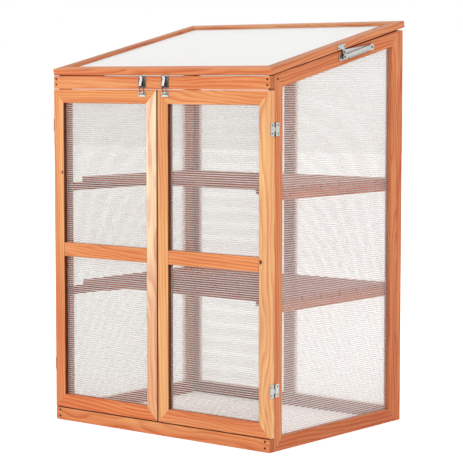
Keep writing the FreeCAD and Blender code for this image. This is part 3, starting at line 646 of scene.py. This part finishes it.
def add_webs(name, node, body, rise, run):
    """The webs between the two skins of each pane in a node, one above the other along rise."""
    made = bmesh.new()
    for ends in islands(node):
        low, high = span(ends, rise)
        first = math.ceil((low + WEB_END_GAP) / FLUTE_PITCH)
        last = math.floor((high - WEB_END_GAP) / FLUTE_PITCH)
        for number in range(first, last + 1):
            add_web(made, ends, number * FLUTE_PITCH, rise, run)
    add_mesh(name, made, body, MILKY_WEB)


def finish_panes():
    finish("lid_pane", LID_SKIN)
    finish("back_panes", BACK_SKIN)
    finish("left_side_pane", BACK_SKIN)
    finish("right_side_pane", SIDE_SKIN)
    finish("left_door_panes", DOOR_SKIN)
    finish("right_door_panes", DOOR_SKIN)
    add_webs("lid_webs", "lid_pane", "lid", UP_SLOPE, ACROSS)
    add_webs("back_webs", "back_panes", "root", UP, ACROSS)
    for hand in ("left", "right"):
        add_webs(hand + "_door_webs", hand + "_door_panes", hand + "_door", UP, ACROSS)
        add_webs(hand + "_side_webs", hand + "_side_pane", "root", UP, DEEP)


finish_panes()


# Metal

# The mottle of the plating: how often it repeats in a metre, its shades, relief and change of roughness
MOTTLE_SCALE = 260.0
MOTTLE_SEED = 1.0
MOTTLE_SHADES = (0.7, 1.12)
MOTTLE_RELIEF = 0.00003
MOTTLE_STRENGTH = 0.4
SMOOTHER = 0.08
ROUGHER = 0.1
METAL_SHARE = 0.9

# How squarely a face has to look along the facing direction to be bright, and the painted shade on it where
# it doesn't
AWAY_SPAN = (0.35, 0.85)
AWAY_SHADE = 0.16


def zinc(name, tone, rough, facing=None):
    """Zinc plate with a fine mottle, with painted shade on its faces that look neither along facing nor
    against it.
    """
    graph = material_graph(name)
    spot = graph.node("ShaderNodeVectorMath", (graph.place(), (MOTTLE_SCALE,) * 3), operation="MULTIPLY")
    mottle = graph.noise(spot.outputs[0], MOTTLE_SEED, FINE)
    shade = graph.spread(mottle, *MOTTLE_SHADES)
    if facing:
        square = graph.math("ABSOLUTE", graph.dot(graph.normal(), facing))
        shade = graph.math("MULTIPLY", shade, graph.ranged(square, *AWAY_SPAN, AWAY_SHADE, 1.0))
    base = graph.mixed(1.0, tone, graph.vector(shade, shade, shade), "MULTIPLY")
    roughness = graph.spread(mottle, rough - SMOOTHER, rough + ROUGHER)
    shader = graph.principled(Base_Color=base, Metallic=METAL_SHARE, Roughness=roughness,
                              Normal=graph.bump(mottle, MOTTLE_RELIEF, MOTTLE_STRENGTH))
    return graph.surface(shader)


SIDE_ZINC = zinc("side_zinc", colour(204, 204, 200), rough=0.34, facing=ACROSS)
BRIGHT_ZINC = zinc("bright_zinc", colour(226, 226, 222), rough=0.3, facing=DEEP)
# Zinc darkened as painted shade, for the latch base plates behind the levers and for the bails
SHADED_ZINC = zinc("shaded_zinc", colour(132, 130, 126), rough=0.42, facing=DEEP)
# Grey steel of the hardware screws, darkened further as painted shade for the dark recess in each small head
SCREW_STEEL = zinc("screw_steel", colour(128, 124, 118), rough=0.4)
RIVET_STEEL = zinc("rivet_steel", colour(112, 110, 106), rough=0.4)
DARK_STEEL = zinc("dark_screw_steel", colour(84, 60, 48), rough=0.45)


def finish_metal():
    for node in nodes:
        if "rivet" in node:
            finish(node, RIVET_STEEL)
        elif "latch_base" in node or "bail" in node:
            finish(node, SHADED_ZINC)
        elif "latch" in node or "lid_hinge" in node:
            finish(node, BRIGHT_ZINC)
        elif "hinge_frame" in node or "hinge_leaves" in node or "hinge_pins" in node or "stay_" in node:
            finish(node, SIDE_ZINC)


finish_metal()


# Screw heads

# The dome: its height as a share of the radius, and its profile as shares of the radius and the height
HEAD_STEPS = 20
HEAD_HEIGHT_SHARE = 0.42
HEAD_PROFILE = ((1.0, 0.0), (0.97, 0.45), (0.84, 0.82), (0.66, 1.0))

# The cross recess: shares of the radius, the height of its floor, and how much smaller the floor is
CROSS_REACH_SHARE = 0.52
CROSS_HALF_WIDTH_SHARE = 0.13
CROSS_FLOOR_HEIGHT_SHARE = 0.3
CROSS_TAPER = 0.8

# How far round each screw was turned when it was driven in
FIRST_SPIN = 0.4
SPIN_STEP = 1.1


def dome(made, radius, height):
    """The side and the underside of a head; the edges of its open top are given back."""
    loops = []
    for reach, rise in HEAD_PROFILE:
        loop = []
        for step in range(HEAD_STEPS):
            angle = 2 * math.pi * step / HEAD_STEPS
            x, y = radius * reach * math.cos(angle), radius * reach * math.sin(angle)
            loop.append(made.verts.new((x, y, height * rise)))
        loops.append(loop)
    for lower, upper in zip(loops, loops[1:]):
        for step in range(HEAD_STEPS):
            after = (step + 1) % HEAD_STEPS
            made.faces.new((lower[step], lower[after], upper[after], upper[step]))
    made.faces.new(list(reversed(loops[0])))
    top = loops[-1]
    return [made.edges.get((top[step], top[(step + 1) % HEAD_STEPS])) for step in range(HEAD_STEPS)]


def cross_recess(made, radius, height):
    """The walls and the floor of the cross; the edges of its brim are given back."""
    arm = radius * CROSS_REACH_SHARE
    half = radius * CROSS_HALF_WIDTH_SHARE
    outline = []
    for quarter in range(4):
        cos, sin = math.cos(quarter * math.pi / 2), math.sin(quarter * math.pi / 2)
        for x, y in ((arm, -half), (arm, half), (half, half)):
            outline.append((x * cos - y * sin, x * sin + y * cos))
    low = height * CROSS_FLOOR_HEIGHT_SHARE
    brim = [made.verts.new((x, y, height)) for x, y in outline]
    floor = [made.verts.new((x * CROSS_TAPER, y * CROSS_TAPER, low)) for x, y in outline]
    brim_edges = []
    for step in range(len(outline)):
        after = (step + 1) % len(outline)
        made.faces.new((brim[step], brim[after], floor[after], floor[step]))
        brim_edges.append(made.edges.get((brim[step], brim[after])))
    made.faces.new(floor)
    return brim_edges


def screw_head(made, radius, place):
    """A domed head with a cross recess, standing on the plane z = 0 of its place."""
    height = radius * HEAD_HEIGHT_SHARE
    start = len(made.verts)
    edges = dome(made, radius, height) + cross_recess(made, radius, height)
    bmesh.ops.triangle_fill(made, use_beauty=True, edges=edges)
    made.verts.ensure_lookup_table()
    new = [made.verts[index] for index in range(start, len(made.verts))]
    bmesh.ops.transform(made, matrix=place, verts=new)


def add_screws(name, body, material, radius, spots):
    """Screw heads as one piece; each spot is a point on a surface and the way that surface faces."""
    made = bmesh.new()
    for number, (point, facing) in enumerate(spots):
        turn = facing.to_track_quat("Z", "Y").to_matrix().to_4x4()
        spin = Matrix.Rotation(FIRST_SPIN + SPIN_STEP * number, 4, "Z")
        screw_head(made, radius, Matrix.Translation(point) @ turn @ spin)
    bmesh.ops.recalc_face_normals(made, faces=made.faces)
    add_mesh(name, made, body, material)


# Places of the screws

# Thickness of the sheet metal under the screws
HINGE_SHEET = 0.0012
LATCH_SHEET = 0.0012
STAY_SHEET = 0.0015

# Hinge screws: half the distance between a leaf's two, and how far they lie from its free edge
HINGE_SCREW_RADIUS = 0.0023
HINGE_SCREW_SPREAD = 0.0108
HINGE_SCREW_INSET = 0.0056
LID_LEAF_SCREW_DROP = 0.0063

# Latch screws: distance from the base plate's sides and top, and from its foot; then those of a strike
LATCH_SCREW_RADIUS = 0.0019
LATCH_SCREW_INSET = 0.0030
LATCH_SCREW_RISE = 0.0075
STRIKE_SCREW_SPREAD = 0.0096
STRIKE_SCREW_DROP = 0.001

# Stay screws: half the distance between two, and their middle up the slope and off it from the lid's pin
STAY_SCREW_RADIUS = 0.0022
STAY_SCREW_SPREAD = 0.0118
STAY_SIDE_SCREWS = (-0.300, -0.014)
STAY_LID_SCREWS = (-0.304, 0.0125)

# Frame screws: distance from a front rail's end and shares of its height, then the stiles and cleats
FRAME_SCREW_RADIUS = 0.0030
RAIL_SCREWS = {"base_rail": (0.0145, (0.31, 0.79)), "header_rail": (0.0085, (0.33, 0.76))}
STILE_SCREW_INSET = 0.012
STILE_SCREW_HEIGHT = 0.9515
BACK_STILE_SHARES = (0.06, 0.35, 0.64, 0.93)
CLEAT_SHARES = (0.12, 0.5, 0.88)
CLEAT_HEIGHT_SHARE = 0.4

# How near a slat's underside is to the top of a batten that it is nailed to
NAILED_GAP = 0.002


def door_hinge_spots(node, edge):
    """Two screws in each leaf, at its free edge, which lies towards the back or the front."""
    spots = []
    for low, high in boxes(node):
        out = 1 if low.x > 0 else -1
        face = (low.x if out > 0 else high.x) + out * HINGE_SHEET
        deep = high.y - HINGE_SCREW_INSET if edge == "back" else low.y + HINGE_SCREW_INSET
        middle = (low.z + high.z) / 2
        for way in (-1, 1):
            spots.append((Vector((face, deep, middle + way * HINGE_SCREW_SPREAD)), ACROSS * out))
    return spots


def lid_hinge_spots(node, point, facing):
    """Two screws in each leaf of the lid's hinges; point gives their height and depth, the leaf their x."""
    spots = []
    for low, high in boxes(node):
        for way in (-1, 1):
            across = (low.x + high.x) / 2 + way * HINGE_SCREW_SPREAD
            spots.append((point + ACROSS * across, facing))
    return spots


def lid_frame_leaf_spots():
    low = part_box("lid_hinge_frame_leaves")[0]
    point = Vector((0, low.y + HINGE_SHEET, low.z + HINGE_SCREW_INSET))
    return lid_hinge_spots("lid_hinge_frame_leaves", point, DEEP)


def lid_leaf_spots():
    point = LID_FRONT_EDGE + UP_SLOPE * (LID_LENGTH + HINGE_SHEET) - OFF_SLOPE * LID_LEAF_SCREW_DROP
    return lid_hinge_spots("lid_hinge_lid_leaves", point, UP_SLOPE)


def latch_plate_spots():
    spots = []
    for low, high in boxes("latch_base_plates"):
        face = high.y - LATCH_SHEET
        for across in (low.x + LATCH_SCREW_INSET, high.x - LATCH_SCREW_INSET):
            for height in (low.z + LATCH_SCREW_RISE, high.z - LATCH_SCREW_INSET):
                spots.append((Vector((across, face, height)), -DEEP))
    return spots


def strike_spots(hand):
    low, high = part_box(hand + "_latch_strike")
    middle = (low.x + high.x) / 2
    face = high.y - LATCH_SHEET
    height = (low.z + high.z) / 2 - STRIKE_SCREW_DROP
    return [(Vector((middle + way * STRIKE_SCREW_SPREAD, face, height)), -DEEP) for way in (-1, 1)]


def stay_spots(bracket, offset):
    """Two screws of a bracket, spread along the slope about a place measured from the lid's pin."""
    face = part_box(bracket)[0].x + STAY_SHEET
    lid_joint = [joint for joint in frame["record"]["behaviour"]["joints"] if joint["name"] == "lid_lift"][0]
    pin = lid_joint["pos_m"]
    along, off = offset
    centre = Vector((face, pin[1], pin[2])) + UP_SLOPE * along + OFF_SLOPE * off
    return [(centre + UP_SLOPE * way * STAY_SCREW_SPREAD, ACROSS) for way in (-1, 1)]


def frame_screw_spots():
    """Screws that hold the base and header rails to the side panels, and the back to both."""
    spots = []
    for node, (inset, shares) in RAIL_SCREWS.items():
        low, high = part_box(node)
        for end, way in ((low.x, 1), (high.x, -1)):
            for share in shares:
                spots.append((Vector((end + way * inset, low.y, low.z + share * (high.z - low.z))), -DEEP))
    for node, out in (("left_side_front_stile", -1), ("right_side_front_stile", 1)):
        low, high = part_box(node)
        face = high.x if out > 0 else low.x
        spots.append((Vector((face, low.y + STILE_SCREW_INSET, STILE_SCREW_HEIGHT)), ACROSS * out))
    for node in ("back_left_stile", "back_right_stile"):
        low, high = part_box(node)
        for share in BACK_STILE_SHARES:
            spots.append((Vector(((low.x + high.x) / 2, high.y, low.z + share * (high.z - low.z))), DEEP))
    return spots


def cleat_screw_spots():
    spots = []
    for low, high in boxes("shelf_cleats"):
        inward = -1 if low.x > 0 else 1
        face = low.x if inward < 0 else high.x
        height = low.z + CLEAT_HEIGHT_SHARE * (high.z - low.z)
        for share in CLEAT_SHARES:
            spots.append((Vector((face, low.y + share * (high.y - low.y), height)), ACROSS * inward))
    return spots


def slat_nail_spots():
    spots = []
    battens = boxes("shelf_battens")
    for node in ("upper_shelf_slats", "lower_shelf_slats"):
        for low, high in boxes(node):
            for batten_low, batten_high in battens:
                if abs(low.z - batten_high.z) < NAILED_GAP:
                    across = (batten_low.x + batten_high.x) / 2
                    spots.append((Vector((across, (low.y + high.y) / 2, high.z)), UP))
    return spots


def add_all_screws():
    add_screws("door_hinge_frame_screws", "root", SCREW_STEEL, HINGE_SCREW_RADIUS,
               door_hinge_spots("door_hinge_frame_leaves", "back"))
    add_screws("lid_hinge_frame_screws", "root", SCREW_STEEL, HINGE_SCREW_RADIUS, lid_frame_leaf_spots())
    add_screws("lid_hinge_lid_screws", "lid", SCREW_STEEL, HINGE_SCREW_RADIUS, lid_leaf_spots())
    add_screws("latch_plate_screws", "root", SCREW_STEEL, LATCH_SCREW_RADIUS, latch_plate_spots())
    for hand in ("left", "right"):
        door = hand + "_door"
        add_screws(door + "_hinge_screws", door, SCREW_STEEL, HINGE_SCREW_RADIUS,
                   door_hinge_spots(door + "_hinge_leaves", "front"))
        add_screws(hand + "_strike_screws", door, SCREW_STEEL, LATCH_SCREW_RADIUS, strike_spots(hand))
    add_screws("stay_side_screws", "root", SCREW_STEEL, STAY_SCREW_RADIUS,
               stay_spots("stay_side_bracket", STAY_SIDE_SCREWS))
    add_screws("stay_lid_screws", "lid", SCREW_STEEL, STAY_SCREW_RADIUS,
               stay_spots("stay_lid_bracket", STAY_LID_SCREWS))
    add_screws("frame_screws", "root", DARK_STEEL, FRAME_SCREW_RADIUS, frame_screw_spots())
    add_screws("cleat_screws", "root", DARK_STEEL, FRAME_SCREW_RADIUS, cleat_screw_spots())
    add_screws("slat_nails", "root", DARK_STEEL, LATCH_SCREW_RADIUS, slat_nail_spots())


add_all_screws()


# Floor, light and camera

FLOOR_SIZE = 30.0
FLOOR_DROP = 0.0002
FLOOR_TONE = colour(240, 240, 240)
FLOOR_GLOW = 0.45
BACKDROP_GLOW = 1.0
AMBIENT = 1.0
LAMP_DISTANCE = 4.0
CAMERA_AZIMUTH = 38.989
CAMERA_PITCH = 4.797
CAMERA_PLACE = (3.17002, -3.9012, 0.95265)
PICTURE_WIDTH = 463
FOCAL_PIXELS = 1812.2
SENSOR = 36.0


def seen_directly(graph):
    """1 where the camera, a mirror or glass sees a surface, and 0 where it lights the object."""
    path = graph.node("ShaderNodeLightPath", {})
    seen = path.outputs["Is Camera Ray"]
    for kind in ("Is Glossy Ray", "Is Transmission Ray"):
        seen = graph.math("MAXIMUM", seen, path.outputs[kind])
    return seen


def lay_floor():
    half = FLOOR_SIZE / 2
    corners = [(-half, -half, 0), (half, -half, 0), (half, half, 0), (-half, half, 0)]
    mesh = bpy.data.meshes.new("floor")
    mesh.from_pydata(corners, [], [(0, 1, 2, 3)])
    floor = bpy.data.objects.new("floor", mesh)
    floor.location.z = cad_box[0].z - FLOOR_DROP
    bpy.context.scene.collection.objects.link(floor)
    graph = material_graph("pale_floor")
    chalk = graph.node("ShaderNodeBsdfDiffuse", (FLOOR_TONE,)).outputs[0]
    strength = graph.math("MULTIPLY", seen_directly(graph), FLOOR_GLOW)
    glow = graph.node("ShaderNodeEmission", (WHITE, strength)).outputs[0]
    mesh.materials.append(graph.surface(graph.node("ShaderNodeAddShader", (chalk, glow)).outputs[0]))


def light_world():
    world = bpy.data.worlds.new("studio")
    bpy.context.scene.world = world
    graph = Graph(world, "ShaderNodeOutputWorld")
    strength = graph.ranged(seen_directly(graph), 0.0, 1.0, AMBIENT, BACKDROP_GLOW)
    graph.surface(graph.node("ShaderNodeBackground", (WHITE, strength)).outputs[0])


def softbox(name, azimuth, elevation, size, power):
    """A square lamp that looks at the middle of the object. Azimuth 0 is in front, 90 to the right."""
    lamp = bpy.data.lights.new(name, "AREA")
    lamp.size = size
    lamp.energy = power
    holder = bpy.data.objects.new(name, lamp)
    bpy.context.scene.collection.objects.link(holder)
    turn, rise = math.radians(azimuth), math.radians(elevation)
    way = Vector((math.sin(turn) * math.cos(rise), -math.cos(turn) * math.cos(rise), math.sin(rise)))
    middle = (cad_box[0] + cad_box[1]) / 2
    holder.location = middle + way * LAMP_DISTANCE
    holder.rotation_euler = (-way).to_track_quat("-Z", "Y").to_euler()


def place_camera():
    lens = bpy.data.cameras.new("camera")
    lens.sensor_width = SENSOR
    lens.lens = FOCAL_PIXELS * SENSOR / PICTURE_WIDTH
    camera = bpy.data.objects.new("camera", lens)
    bpy.context.scene.collection.objects.link(camera)
    turn, pitch = math.radians(CAMERA_AZIMUTH), math.radians(CAMERA_PITCH)
    way = Vector((-math.sin(turn) * math.cos(pitch), math.cos(turn) * math.cos(pitch), -math.sin(pitch)))
    camera.location = CAMERA_PLACE
    camera.rotation_euler = way.to_track_quat("-Z", "Y").to_euler()
    bpy.context.scene.camera = camera


lay_floor()
light_world()
softbox("key", azimuth=-22, elevation=38, size=2.6, power=15.0)
softbox("fill", azimuth=80, elevation=25, size=3.0, power=12.0)
softbox("top", azimuth=0, elevation=85, size=3.0, power=6.0)
softbox("back", azimuth=205, elevation=25, size=3.0, power=18.0)
place_camera()
bpy.context.scene.view_settings.view_transform = "Standard"
